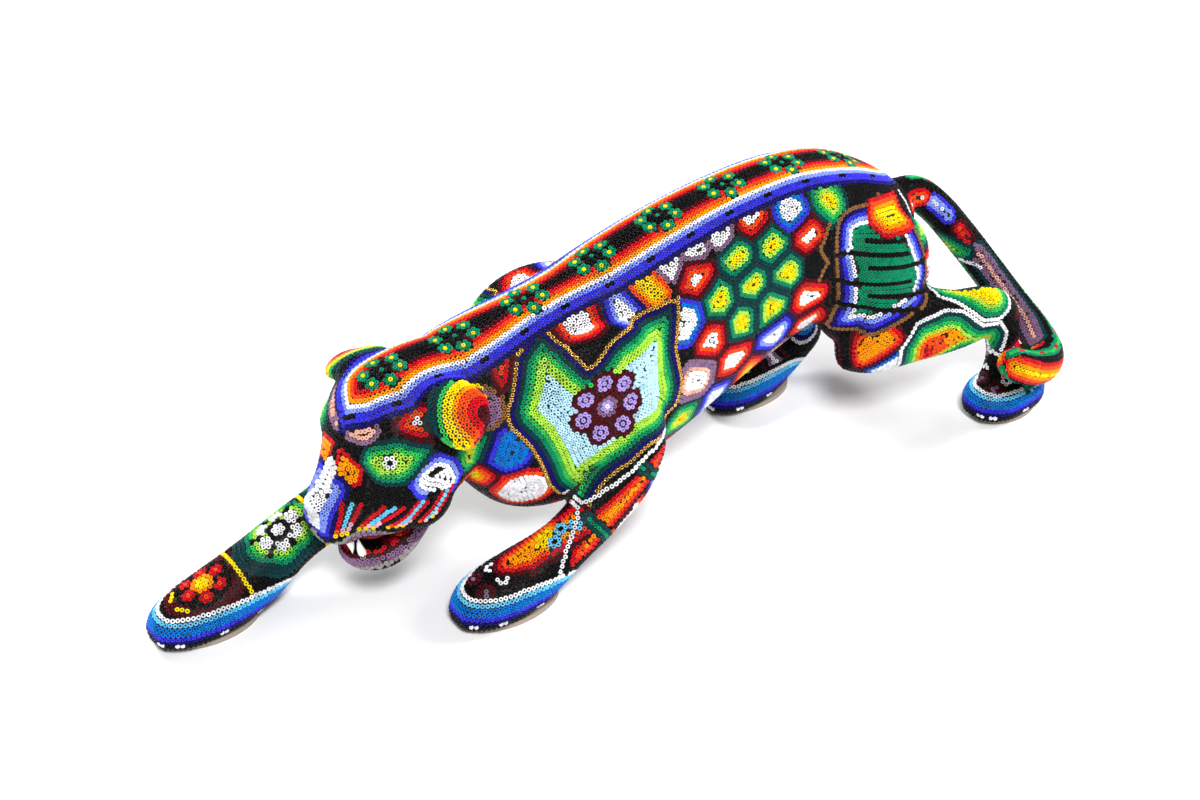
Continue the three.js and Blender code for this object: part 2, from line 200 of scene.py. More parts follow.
def axes_across(tangent, hint):
    """Two axes square to a limb, the first one as near to the hint as it can be."""
    tangent = tangent / np.linalg.norm(tangent)
    across = np.array(hint, float) - tangent * np.dot(hint, tangent)
    across /= np.linalg.norm(across)
    return across, np.cross(tangent, across)


def limb(stations, hint=SIDEWAYS, count=32):
    """The skin of a limb."""
    rows = along_spline(stations)
    tangents = np.gradient(rows[:, :3], axis=0)
    rings = []
    for row, tangent in zip(rows, tangents):
        across, upward = axes_across(tangent, hint)
        side, depth = row[3:]
        rings.append(ring(row[:3], across, upward, side, depth, depth, LOWER_SQUARENESS, count))
    return skin(rings)


def egg(centre, half, rows=16, count=24):
    rings = []
    for lift in np.linspace(-np.pi / 2, np.pi / 2, rows + 2)[1:-1]:
        angle = np.linspace(0, 2 * np.pi, count, endpoint=False)
        unit = np.stack([np.full(count, np.sin(lift)), np.cos(lift) * np.cos(angle),
                         np.cos(lift) * np.sin(angle)], 1)
        rings.append(np.array(centre) + unit * half)
    return skin(rings)


def linked(name, data):
    """A new object in the scene."""
    made = bpy.data.objects.new(name, data)
    bpy.context.scene.collection.objects.link(made)
    return made


def make_object(name, points, faces):
    """An object from plan millimetres, placed in the frame's metres."""
    mesh = bpy.data.meshes.new(name)
    placed = (np.asarray(points) + SHIFT) * MM
    mesh.from_pydata(placed.tolist(), [], [tuple(face) for face in faces])
    mesh.update()
    return linked(name, mesh)


def joined(name, shapes):
    """One object from several closed skins."""
    points, faces, start = [], [], 0
    for shape_points, shape_faces in shapes:
        points.append(shape_points)
        faces += [tuple(corner + start for corner in face) for face in shape_faces]
        start += len(shape_points)
    return make_object(name, np.vstack(points), faces)


def apply_modifiers(made):
    dependencies = bpy.context.evaluated_depsgraph_get()
    mesh = bpy.data.meshes.new_from_object(made.evaluated_get(dependencies))
    made.modifiers.clear()
    made.data = mesh
    return made


def hollowed(name, shape, hollow):
    """A skin with another one cut out of it."""
    solid, cutter = make_object(name, *shape), make_object(name + "_hollow", *hollow)
    cut = solid.modifiers.new("cut", "BOOLEAN")
    cut.operation = "DIFFERENCE"
    cut.solver = "EXACT"
    cut.object = cutter
    apply_modifiers(solid)
    points = np.array([v.co for v in solid.data.vertices]) / MM - SHIFT
    faces = [tuple(face.vertices) for face in solid.data.polygons]
    bpy.data.objects.remove(cutter)
    bpy.data.objects.remove(solid)
    return points, faces


def carved_shapes():
    mouth = egg(*MOUTH)
    shapes = [upright(TORSO), hollowed("head", upright(HEAD), mouth),
              hollowed("jaw", limb(LOWER_JAW), mouth)]
    shapes += [limb(stations) for stations in (LEFT_FORELEG, RIGHT_FORELEG, LEFT_THIGH, LEFT_SHANK,
                                               LEFT_HIND_PAW, RIGHT_THIGH, RIGHT_HIND_PAW)]
    shapes += [limb(TAIL, TAIL_HINT), limb(LEFT_EAR, EAR_HINT), limb(RIGHT_EAR, EAR_HINT)]
    shapes += [egg((x, side * y, z), half) for (x, y, z), half, sides in SWELLINGS for side in sides]
    return shapes


def carve_body(name="body_surface", voxel=VOXEL):
    """One smooth closed surface round all the carved pieces."""
    body = joined(name, carved_shapes())
    remesh = body.modifiers.new("remesh", "REMESH")
    remesh.mode = "VOXEL"
    remesh.voxel_size = voxel * MM
    smooth = body.modifiers.new("smooth", "SMOOTH")
    smooth.factor = 0.5
    smooth.iterations = SMOOTHING
    return apply_modifiers(body)


# ---------------------------------------------------------------- the bead colours

COLOURS = {
    "black": (9, 9, 12), "maroon": (80, 10, 24), "red": (206, 18, 34), "flame": (244, 78, 28),
    "amber": (255, 152, 0), "yellow": (250, 214, 0), "white": (242, 242, 246), "pale": (186, 226, 244),
    "sky": (104, 196, 236), "azure": (16, 116, 202), "periwinkle": (132, 152, 242), "royal": (58, 56, 214),
    "navy": (22, 18, 104), "teal": (12, 62, 66), "emerald": (4, 136, 96), "green": (52, 184, 84),
    "lime": (168, 220, 72), "mauve": (136, 104, 136), "lilac": (176, 150, 224), "pink": (244, 180, 202),
    "peach": (240, 178, 158), "gold": (206, 160, 78), "silver": (150, 146, 142), "bronze": (140, 96, 54),
}
NAMES = list(COLOURS)
TONES = (0.82, 1.0, 1.12)
GAMMA = 2.2

# ---------------------------------------------------------------- measures and rows of the pattern

# Between rows of beads, and between beads along a row.
ROW = 1.75
PITCH = 2.0
# Further than any field, how far round a border its field is worked out, and how wide a cell can be.
FAR = 40.0
REACH = 14.0
CELL_REACH = 24
# How far a surface may turn away from a look and still take its outline.
FACING = 0.25
# Steps of a fine line in millimetres, of a rounded one between its points, and places measured at once.
FINE = 0.6
FINE_STEPS = 8
CHUNK = 3000
# The height of the soles.
SOLE_TOP = 3.2
# How far a bead stays from the regions before its own.
CLEARANCE = 0.75
# Widens a spot so that its outermost ring of beads lies inside it.
SPOT_MARGIN = 0.05
# How far above a limb's skin a look at it starts.
OUTSIDE = 6
GROUND_ROWS = "black black black maroon black mauve white"

PAW_ROWS = "white sky azure azure royal navy black black"
PAW_DOTS = (6, 9, 2, "white")
PAW_MARGIN = 14
PAW_HEIGHT = 30
# Toes and knuckles: place ahead of the sole's middle as a share of its half length, y, height, rings, rows.
PAW_SPOTS = [(0.62, 4.6, 17, 2.6, "maroon mauve mauve"), (0.26, 4.2, 19, 2.15, "white black")]
TOE_MARKS = [[(-183, 16, 20), (-185.5, 19, 20)], [(-185.5, 25, 20), (-183, 29, 20)]]

MOUTH_RIM = 1.0
HOLLOW_ROWS = "black " * 9 + "maroon red red flame red red red maroon"
LIP_ROWS = "silver mauve mauve maroon red"
EAR_TIPS = ((-76.5, -33, 92), (-93, 39, 89))
EAR_REACH = 22.5
EAR_MARGIN = 3.2
EAR_ROWS = "teal teal green yellow yellow amber flame flame red red maroon maroon black"
WHISKERS = 15
# The first and the last whisker: lean in degrees, x and z of the foot, length.
WHISKER_ENDS = np.array([(72, -131, 47.5, 14), (38, -100, 51, 16)])
WHISKER_COLOURS = ("yellow flame" + " red" * 12, "yellow pink" + " sky" * 12,
                   "yellow pink pink" + " red" * 12, "black")
CHEEK_DASHES = [[(-98, 62.5), (-94, 62.5)], [(-97, 71.5), (-93.5, 72)]]

# Centre, and the rows of the petals, of the heart and of the ground round them.
FLOWERS = [((-140, 21, 38), "white white", "black white white", "teal teal teal emerald green lime"),
           ((-173, 24, 26), "red flame", "amber yellow yellow", "black maroon maroon maroon black")]
FLOWER_REACH = 7.4
FLOWER_DASH = (8.5, 11.5)
PETALS = 6
PETAL_RINGS = 2.15
HEART_RINGS = 3.1
# Centre, petals and how far out they are, then rings and rows of a petal and of the heart.
SHOULDER_BLOSSOM = ((-24, 40, 78), 7, 11, 3.5, "maroon lilac lilac", 4, "maroon mauve lilac white")
LEG_RINGS = [((-156, 24, 14), (1, 0, 0.25)), ((-122, 27, 27), (1, 0, 0.25))]
LEG_RING_REACH = 22
# The radius of a leg where its outlines turn out of sight.
LEG_TURN = 12

# The rows along the tail's edges: where they start as a share of its length, and their half width in rows.
TAIL_EDGE_START = 0.08
TAIL_EDGE_WIDTH = 1.5
# Bands on the tail's sides: start, end, half width in rows, rows, and the beads along the middle.
TAIL_BANDS = [(0.06, 0.1, 2.6, "red flame white", ""), (0.14, 0.2, 2.6, "royal periwinkle white", ""),
              (0.25, 0.28, 2.6, "maroon red flame", ""), (0.32, 0.62, 3.5, "teal mauve mauve", "peach"),
              (0.66, 0.97, 3.6, "red flame amber yellow", "")]

# ---------------------------------------------------------------- the pattern, in plan millimetres
# Side views are x and z, the top view is x and y, the front view is y and z.
# Rows of beads are named from the border inwards, and the last one fills the middle.

STRIPE = [(-119.5, 0), (-118, 4), (-114.5, 11.5), (-109, 16.5), (-98, 19.5), (-88, 18.5), (-60, 18.5),
          (-40, 16.5), (-20, 16), (0, 18), (30, 18), (60, 17.5), (90, 17.5), (120, 18), (140, 15),
          (151, 8), (154, 0)]
STRIPE_ROWS = "navy royal royal periwinkle white amber flame red maroon black"
STRIPE_DOTS = (2, 10, 2, "black")
# The blossoms along the stripe, and half the length and width of the ring of their petals.
BLOSSOM_PLACES = range(-100, 125, 32)
BLOSSOM_REACH = (7.2, 6.6)

HEX = "teal emerald lime yellow"
EMBER = "maroon red flame white"
SKY = "navy royal periwinkle white"
LEAF = "teal emerald green lime yellow"
SUN = "maroon red flame amber yellow"
HEATHER = "mauve mauve peach white"

# Motifs that the two sides share: outline, rows, and whether it is rounded.
EYE = [(-118, 82), (-115, 87), (-108, 90), (-102, 87), (-94, 82), (-102, 76), (-109, 72), (-116, 71),
       (-119, 77)]
PUPIL = (-112, 81)
SIDE_OUTLINES = [
    (EYE, "teal emerald green lime lime", True),
    ([(-109, 93), (-104, 97), (-95, 100), (-94, 83), (-101, 87)], EMBER, False),
    ([(-66, 103), (-52, 104), (-58, 96), (-64, 90)], EMBER, False),
    ([(-108, 71), (-103, 77), (-93, 80), (-86, 75), (-82, 65), (-85, 57), (-97, 60), (-104, 64)],
     "royal periwinkle white", False),
    ([(-38, 109), (-53, 103), (-63, 86), (-63, 79), (-56, 69), (-51, 57), (-47, 45), (-38, 34), (-30, 43),
      (-22, 50), (-9, 56), (3, 56), (14, 60), (17, 70), (14, 87), (20, 107), (0, 105), (-18, 104), (-30, 97)],
     "gold navy teal emerald green lime lime pale", False),
]
# Cells that share walls: place, reach, rows.
SIDE_CELLS = [
    ((38, 99), 13, HEX), ((55, 100), 13, HEX), ((50, 112), 13, HEX), ((67, 112), 13, HEX),
    ((73, 99), 13, HEX), ((65, 86), 13, HEX), ((49, 85), 13, HEX),
    ((61, 124), 11, EMBER), ((86, 111), 11, EMBER), ((29, 111), 11, EMBER), ((86, 83), 12, EMBER),
    ((33, 83), 11, EMBER), ((80, 122), 9, "royal azure white"), ((99, 120), 11, LEAF),
    ((20, 96), 11, "royal azure white"), ((92, 97), 10, "black"),
    ((44, 123), 8, "mauve white"), ((32, 121), 8, "mauve white"), ((19, 118), 9, "mauve white"),
    ((26, 68), 13, HEATHER), ((20, 48), 12, LEAF), ((45, 68), 13, EMBER), ((70, 69), 13, SKY),
    ((40, 50), 14, SKY), ((60, 54), 13, SUN), ((88, 66), 12, EMBER), ((78, 54), 11, HEATHER),
    ((-23, 107), 12, EMBER), ((-4, 107), 11, SKY), ((8, 113), 11, "flame amber yellow"),
    ((-66, 69), 14, "navy royal azure azure"), ((-57, 45), 14, "red flame white white"),
    ((-72, 88), 10, "bronze mauve"), ((-74, 55), 12, SUN), ((-76, 72), 11, LEAF),
    ((114, 53), 14, "maroon red flame amber"), ((104, 45), 12, EMBER), ((122, 42), 12, "navy azure white"),
    ((0, 40), 15, SKY), ((-20, 30), 14, EMBER), ((15, 33), 13, SUN), ((-45, 30), 13, LEAF),
    ((150, 92), 10, LEAF), ((152, 80), 10, EMBER),
]
# Cells along the legs, whose rows run round them: centre, reach, rows.
LEG_CELLS = [
    ((-18, -24, 46), 15, "white teal emerald green lime"), ((-36, -28, 26), 13, "black maroon maroon red"),
    ((-52, -30, 22), 12, "black maroon maroon red"),
    ((-48, 36, 54), 16, "white " + SUN), ((-72, 36, 42), 15, "white " + LEAF),
    ((-96, 37, 33), 14, "white black " + EMBER), ((-122, 36, 28), 15, "white " + LEAF),
    ((-144, 35, 20), 14, "white " + SUN),
    ((-50, 12, 48), 14, "white black " + EMBER), ((-76, 14, 38), 15, "white " + SKY),
    ((-98, 16, 32), 13, "white maroon mauve peach"),
    ((128, 36, 84), 16, "white " + SUN), ((118, 37, 62), 16, "white " + LEAF),
    ((120, 36, 44), 13, "white black " + EMBER), ((130, 33, 29), 12, "white " + SKY),
    ((120, 12, 48), 13, "black maroon mauve white"), ((128, 14, 32), 12, "white navy azure sky"),
    ((140, -22, 52), 16, "white " + SUN), ((165, -30, 48), 14, "white black mauve mauve peach"),
    ((185, -40, 34), 13, "mauve mauve black maroon"), ((190, -50, 28), 11, "black maroon mauve"),
]
# The hip panel's inside has straight rows that slope back; some are black, from one x to another.
HIP_OUTLINE = [(120, 114), (109, 115), (101, 111), (99, 99), (100, 87), (100, 77), (99, 62), (107, 60),
               (126, 64), (140, 67), (148, 74), (146, 86), (143, 96), (140, 108), (129, 114)]
HIP_CORNER = [(120, 115), (141, 110), (143, 97), (124, 99), (118, 106)]
BRONZE_LINE = [(97, 112), (91, 103), (95, 96), (91, 89)]
HIP_SLOPE = 0.2326
HIP_TOP = 142.0
HIP_BORDER = 5 * ROW + 0.2
HIP_LINES = [(8, 116, 134), (11, 101, 134), (14, 114, 145), (18, 101, 135), (21, 113, 147),
             (24, 101, 134)]
# The left foreleg's border between its front and back patterns, and the left hind leg's between its two.
FORELEG_BORDER = [(4, 56), (-9, 53), (-23, 46), (-38, 37), (-44, 30), (-50, 24), (-54, 18)]
FORELEG_BARS = [[(-14, 50), (-2, 38)], [(-38, 34), (-28, 20)]]
FORELEG_BAR_WIDTH = 1.5
FORELEG_SPOTS = [(-42, 32), (-38.5, 30), (-41, 27)]
FORELEG_FRONT = [(-45, 20.5), (-47, 26), (-47, 32), (-43, 37), (-38, 38.5), (-34, 36), (-32, 31),
                 (-27, 26), (-28, 20)]
FORELEG_BACK = [(3, 54), (-9, 51), (-23, 44), (-38, 35), (-44, 28), (-50, 22), (-52, 14), (-38, 18),
                (-24, 28), (-6, 40), (4, 48)]
HAUNCH_LINE = [(146, 107), (151, 97), (153, 85), (151, 75), (149, 67)]
HIND_BORDER = [(149, 67), (158, 62), (167, 53), (176, 51), (183, 54), (187, 59)]
HIND_UPPER = [(192, 66), (178, 74), (156, 78)]
HIND_LOWER = [(132, 62), (149, 63), (158, 60), (167, 51), (178, 49), (183, 42), (181, 28), (171, 34),
              (160, 38), (144, 33), (128, 36), (124, 50)]
# The face from the front; the last two lie on either side.
NOSE_RIDGE = [(-3, 73), (3, 73), (4, 62), (4, 48), (-4, 48), (-4, 62)]
MUZZLE = [(-10, 69), (10, 69), (11, 57), (9, 45), (-9, 45), (-11, 57)]
FAN = [(1, 80), (8, 79), (15, 76), (15, 69), (10, 66), (3, 70)]
LENS = [(2, 84), (4, 88), (12, 93), (17, 93), (16, 87), (10, 84)]

surface = carve_body()


def read_surface(made):
    """Points in plan millimetres, their normals, and triangles."""
    mesh = made.data
    points = np.empty(len(mesh.vertices) * 3)
    normals = np.empty(len(mesh.vertices) * 3)
    mesh.vertices.foreach_get("co", points)
    mesh.vertices.foreach_get("normal", normals)
    mesh.calc_loop_triangles()
    corners = np.empty(len(mesh.loop_triangles) * 3, np.int32)
    mesh.loop_triangles.foreach_get("vertices", corners)
    return points.reshape(-1, 3) / MM - SHIFT, normals.reshape(-1, 3), corners.reshape(-1, 3)


POINTS, NORMALS, TRIANGLES = read_surface(surface)
TREE = BVHTree.FromPolygons(POINTS.tolist(), TRIANGLES.tolist())
bpy.data.objects.remove(surface)

# The two axes seen, the way of looking, and how far out the look starts.
VIEWS = {
    "left": ((0, 2), (0, 1, 0), 300), "right": ((0, 2), (0, -1, 0), 300),
    "top": ((0, 1), (0, 0, -1), 300), "front": ((1, 2), (1, 0, 0), 300),
    "behind_tail": ((0, 2), (0, 1, 0), 60.5),
}


def cast(view, place):
    """The surface point that a look from the given side meets first, or None."""
    axes, way, distance = VIEWS[view]
    start = -distance * np.array(way, float)
    start[list(axes)] = place
    hit = TREE.ray_cast(Vector(start), Vector(way))[0]
    return None if hit is None else np.array(hit)


def dense(points, closed, rounded):
    """The line through the points, with a point every FINE. Only a closed one can be rounded."""
    rows = np.array(points, float)
    if closed:
        rows = np.vstack([rows, rows[:1]])
    if rounded:
        rows = along_spline(np.vstack([rows[-2:-1], rows, rows[1:2]]), FINE_STEPS)[FINE_STEPS:-FINE_STEPS]
    return spaced(rows, FINE)


def spaced(rows, step):
    """Points along an open line, evenly about a step apart, both ends included."""
    run = np.concatenate([[0], np.cumsum(np.linalg.norm(np.diff(rows[:, :3], axis=0), axis=1))])
    count = max(int(round(run[-1] / step)), 1) + 1
    places = np.linspace(0, run[-1], count)
    return np.stack([np.interp(places, run, rows[:, axis]) for axis in range(rows.shape[1])], 1)


def on_surface(view, points, closed=False, rounded=False):
    """A fine line on the surface, drawn as it looks from one side."""
    found = [cast(view, place) for place in dense(points, closed, rounded)]
    return np.array([place for place in found if place is not None])


def distance_to(targets, places):
    """The distance from each place to the nearest target."""
    nearest = np.empty(len(places))
    for start in range(0, len(places), CHUNK):
        gap = places[start:start + CHUNK, None] - targets[None]
        nearest[start:start + CHUNK] = np.sqrt((gap ** 2).sum(2).min(1))
    return nearest


def within(loop, places):
    """Which of the flat places lie inside a closed flat loop."""
    inside = np.zeros(len(places), bool)
    for (x0, y0), (x1, y1) in zip(loop, np.roll(loop, -1, 0)):
        if y0 != y1:
            crosses = (y0 > places[:, 1]) != (y1 > places[:, 1])
            inside ^= crosses & (places[:, 0] < (x1 - x0) * (places[:, 1] - y0) / (y1 - y0) + x0)
    return inside


def near_to(targets):
    """Which surface points lie in a box round the targets."""
    low, high = targets.min(0) - REACH, targets.max(0) + REACH
    return np.nonzero(((POINTS > low) & (POINTS < high)).all(1))[0]


def outline_field(view, points, rounded, turn=None):
    """Distance to an outline's border, more than zero inside it.

    With a turn, the place where a limb of that radius turns out of sight is a border too.
    """
    axes, way, _ = VIEWS[view]
    border = on_surface(view, points, True, rounded)
    near = near_to(border)
    inside = within(dense(points, True, rounded), POINTS[near][:, list(axes)])
    facing = NORMALS[near] @ np.array(way, float)
    inside &= facing < FACING
    field = np.full(len(POINTS), -FAR)
    away = distance_to(border, POINTS[near])
    if turn:
        away = np.where(inside, np.minimum(away, turn * (FACING - facing)), away)
    field[near] = np.where(inside, away, -away)
    return field


def spot_field(centre, rings):
    return (rings - 0.5) * ROW + SPOT_MARGIN - np.linalg.norm(POINTS - centre, axis=1)


def line_field(line, width):
    near = near_to(line)
    field = np.full(len(POINTS), -FAR)
    field[near] = width - distance_to(line, POINTS[near])
    return field


def cell_field(centres, index):
    """Distance to the nearest wall between one centre and the others."""
    own, others = centres[index], np.delete(centres, index, 0)
    field = np.full(len(POINTS), -FAR)
    near = np.nonzero(np.linalg.norm(POINTS - own, axis=1) < CELL_REACH)[0]
    middle = (own + others) / 2
    toward = (own - others) / np.linalg.norm(own - others, axis=1)[:, None]
    field[near] = ((POINTS[near][:, None] - middle[None]) * toward[None]).sum(2).min(1)
    return field


regions = []


def add_region(field, rows, dots=None, limit=FAR, beads=((), ())):
    """A region and the colours of its rows, only where the limit is more than zero too.

    Dots: row, bead spacing, run, colour. Beads: places and colours of beads that are laid first.
    """
    regions.append((field, rows.split(), dots, limit, beads))


def add_cells(cells):
    """Regions that share walls half way between their centres, each no wider than its reach."""
    centres = np.array([centre for centre, _, _ in cells])
    for index, (centre, reach, rows) in enumerate(cells):
        ball = reach - np.linalg.norm(POINTS - centre, axis=1)
        add_region(np.minimum(cell_field(centres, index), ball), rows)


def add_outline(view, points, rows, rounded=False, turn=None, dots=None):
    """A region inside an outline, drawn as it looks from one side."""
    add_region(outline_field(view, points, rounded, turn), rows, dots)


def add_line(line, colours):
    """A single row of beads along a line on the surface."""
    places, names = spaced(line, PITCH), colours.split()
    beads = places, [names[index % len(names)] for index in range(len(places))]
    add_region(line_field(spaced(line, FINE), ROW / 2), "", beads=beads)


def add_drawn_line(view, points, colours):
    add_line(on_surface(view, points), colours)


def add_round(centre, rings, rows):
    """Rings of beads round a bead at a surface point."""
    names = rows.split()
    beads = centre[None], [names[min(round(rings), len(names)) - 1]]
    add_region(spot_field(centre, rings), rows, beads=beads)


def add_spot(view, place, rings, rows):
    add_round(cast(view, place), rings, rows)


def around(centre, distance, angle):
    """The surface point at a distance and an angle round the surface point nearest to the centre."""
    location, normal, _, _ = TREE.find_nearest(Vector(centre))
    across = normal.orthogonal().normalized()
    upward = normal.cross(across)
    place = location + distance * (math.cos(angle) * across + math.sin(angle) * upward)
    return np.array(TREE.find_nearest(place)[0])


def add_blossom(centre, petals, distance, rings, petal_rows, heart_rings, heart_rows):
    """Round petals in a ring on the surface, round a heart. Returns the middle of each, the heart first."""
    places = [around(centre, 0, 0)]
    add_round(places[0], heart_rings, heart_rows)
    for index in range(petals):
        places.append(around(centre, distance, 2 * math.pi * (index + 0.5) / petals))
        add_round(places[-1], rings, petal_rows)
    return places


def add_flower(centre, petal_rows, heart_rows, ground_rows):
    """A flower with dark dashes between its petals, on ground whose rows follow its shape."""
    for index in range(PETALS):
        angle = 2 * math.pi * index / PETALS
        add_line(np.array([around(centre, distance, angle) for distance in FLOWER_DASH]), "black")
    places = add_blossom(centre, PETALS, FLOWER_REACH, PETAL_RINGS, petal_rows, HEART_RINGS, heart_rows)
    rows = len(ground_rows.split())
    fields = [spot_field(place, PETAL_RINGS + rows) for place in places[1:]]
    add_region(np.max([spot_field(places[0], HEART_RINGS + rows)] + fields, axis=0), ground_rows)


def limb_line(stations, hint, angle, start=0.0, end=1.0):
    """A line on the surface along a limb, at an angle round its centre line."""
    rows = along_spline(stations)
    rows = rows[int(start * (len(rows) - 1)):int(end * (len(rows) - 1)) + 1]
    tangents = np.gradient(rows[:, :3], axis=0)
    line = []
    for row, tangent in zip(rows, tangents):
        across, upward = axes_across(tangent, hint)
        outward = math.cos(angle) * across + math.sin(angle) * upward
        hit = TREE.ray_cast(Vector(row[:3] + outward * (row[3] + OUTSIDE)), Vector(-outward), 2 * OUTSIDE)[0]
        if hit is not None:
            line.append(hit)
    return np.array(line)


def add_leg_ring(centre, direction):
    """A row of yellow beads right round a leg."""
    away = POINTS - centre
    barrier = LEG_RING_REACH - np.linalg.norm(away, axis=1)
    for loop in contour_loops(away @ np.array(direction, float), 0.0, barrier):
        if loop[:, 3].min() > 0:
            add_line(np.vstack([loop, loop[:1]])[:, :3], "yellow")


def add_stripe():
    """A stripe along the back, with rings of green petals down its middle."""
    for x in BLOSSOM_PLACES:
        for index in range(PETALS):
            angle = math.pi * (index + 0.5) / (PETALS / 2)
            place = (x + BLOSSOM_REACH[0] * math.cos(angle), BLOSSOM_REACH[1] * math.sin(angle))
            add_spot("top", place, PETAL_RINGS, "emerald yellow")
        add_spot("top", (x, 0), 1, "emerald")
    outline = [(x, -y) for x, y in STRIPE] + STRIPE[-2:0:-1]
    add_outline("top", outline, STRIPE_ROWS, rounded=True, dots=STRIPE_DOTS)


def add_paws():
    """Bands of blue that follow the ground round each paw, and toes in front of them."""
    for name, (x, y, half_length, half_width) in SOLES.items():
        reach = (half_length + PAW_MARGIN, half_width + PAW_MARGIN, PAW_HEIGHT)
        near = (np.abs(POINTS - (x, y, SOLE_TOP)) < reach).all(1)
        field = np.where(near, POINTS[:, 2] - SOLE_TOP, FAR)
        foot = np.vstack(contour_loops(field, 0.0, field))[:, :3]
        add_region(line_field(foot, len(PAW_ROWS.split()) * ROW), PAW_ROWS, PAW_DOTS)
        if name == "right_fore":
            continue
        for side in (-1, 1):
            for ahead, offset, height, rings, rows in PAW_SPOTS:
                place = (x - ahead * half_length, y + side * offset, height)
                add_round(around(place, 0, 0), rings, rows)
    for line in TOE_MARKS:
        add_line(np.array([around(place, 0, 0) for place in line]), "yellow")


def add_ears():
    """Arcs of colour round each ear's dark back tip."""
    for ear, tip in zip((LEFT_EAR, RIGHT_EAR), EAR_TIPS):
        near = EAR_MARGIN - distance_to(limb(ear, EAR_HINT)[0], POINTS)
        add_region(EAR_REACH - np.linalg.norm(POINTS - tip, axis=1), EAR_ROWS, limit=near)


def mouth_distance():
    """Distance outwards from the hollow of the mouth."""
    away = POINTS - MOUTH[0]
    reach = np.linalg.norm(away / MOUTH[1], axis=1)
    return (reach - 1) * reach / np.linalg.norm(away / np.square(MOUTH[1]), axis=1)


def add_mouth_rows():
    """A hollow that is black in front and red at the back, with a lip round it."""
    away = mouth_distance()
    add_region(POINTS[:, 0] - MOUTH[0][0] + MOUTH[1][0], HOLLOW_ROWS, limit=MOUTH_RIM + CLEARANCE - away)
    add_region(MOUTH_RIM + len(LIP_ROWS.split()) * ROW - away, LIP_ROWS)


def add_whiskers(view):
    first, last = WHISKER_ENDS
    for index in range(WHISKERS):
        lean, x, z, length = first + (last - first) * (index / (WHISKERS - 1))
        lean = math.radians(lean)
        top = (x + length * math.cos(lean), z + length * math.sin(lean))
        add_drawn_line(view, [(x, z), top], WHISKER_COLOURS[index % len(WHISKER_COLOURS)])


def add_face():
    for view in ("left", "right"):
        add_spot(view, PUPIL, 2, "white black")
        for line in CHEEK_DASHES:
            add_drawn_line(view, line, "black")
        add_whiskers(view)
    add_outline("front", NOSE_RIDGE, "white", rounded=True)
    add_outline("front", MUZZLE, "navy royal periwinkle periwinkle white", rounded=True)
    for side in (-1, 1):
        add_outline("front", [(side * y, z) for y, z in FAN], "red amber amber white")
        add_outline("front", [(side * y, z) for y, z in LENS], "mauve peach yellow", rounded=True)


def add_foreleg():
    add_drawn_line("left", FORELEG_BORDER, "white")
    for place in FORELEG_SPOTS:
        add_spot("front", place, PETAL_RINGS, "sky black")
    for line in FORELEG_BARS:
        add_region(line_field(on_surface("left", line), FORELEG_BAR_WIDTH * ROW), "teal emerald")
    add_outline("front", FORELEG_FRONT, "maroon red flame amber yellow yellow", turn=LEG_TURN)
    add_outline("left", FORELEG_BACK, "black red flame amber white", turn=LEG_TURN)


def add_hindleg():
    add_drawn_line("behind_tail", HIND_BORDER, "white")
    for view in ("left", "right"):
        add_drawn_line(view, HAUNCH_LINE, "white")
    outer = POINTS[:, 1] + VIEWS["behind_tail"][2]
    for points, rows in ((HIND_BORDER + HIND_UPPER, LEAF),
                         (HIND_LOWER, "white teal emerald green lime amber flame red")):
        add_region(np.minimum(outline_field("behind_tail", points, False), outer), rows)


def add_hip(view):
    """A panel of blue and white rows round straight green ones, with black lines from either side."""
    row_height = ROW * math.hypot(1, HIP_SLOPE)
    for row, start, end in HIP_LINES:
        height = HIP_TOP - (row + 0.5) * row_height
        line = [(start, height - HIP_SLOPE * start), (end, height - HIP_SLOPE * end)]
        add_drawn_line(view, line, "black")
    add_outline(view, HIP_CORNER, "red flame amber yellow")
    panel = outline_field(view, HIP_OUTLINE, True)
    fall = (HIP_TOP - POINTS[:, 2] - HIP_SLOPE * POINTS[:, 0]) * ROW / row_height
    add_region(fall, "emerald", limit=panel - HIP_BORDER)
    add_region(panel, "bronze navy royal periwinkle white")


def add_tail():
    for angle in (0, math.pi):
        line = limb_line(TAIL, TAIL_HINT, angle, TAIL_EDGE_START)
        add_line(line, "green green green green green red red")
        add_region(line_field(line, TAIL_EDGE_WIDTH * ROW), "emerald")
    for angle in (-math.pi / 2, math.pi / 2):
        for start, end, width, rows, middle in TAIL_BANDS:
            line = limb_line(TAIL, TAIL_HINT, angle, start, end)
            if middle:
                add_line(line, middle)
            add_region(line_field(line, width * ROW), rows)


def add_pattern():
    """Adds all regions. Where two overlap, the one that is added first shows."""
    for view in ("left", "right"):
        add_drawn_line(view, BRONZE_LINE, "bronze")
        add_hip(view)
    add_stripe()
    add_ears()
    add_mouth_rows()
    add_face()
    add_foreleg()
    add_hindleg()
    add_tail()
    add_paws()
    (x, y, z), *rest = SHOULDER_BLOSSOM
    for side in (-1, 1):
        add_blossom((x, side * y, z), *rest)
    for centre, direction in LEG_RINGS:
        add_leg_ring(centre, direction)
    for flower in FLOWERS:
        add_flower(*flower)
    for view in ("left", "right"):
        for outline in SIDE_OUTLINES:
            add_outline(view, *outline)
    cells = [(cast(view, place), reach, rows)
             for view in ("left", "right") for place, reach, rows in SIDE_CELLS]
    cells = [cell for cell in cells if cell[0] is not None]
    add_cells(cells + [(np.array(centre, float), reach, rows) for centre, reach, rows in LEG_CELLS])


# ---------------------------------------------------------------- from the pattern to beads

# A loop shorter than this gets one bead in its middle.
SHORT_LOOP = 2.2 * PITCH
# How many of the last beads put into gaps a new one keeps its distance from.
RECENT = 400
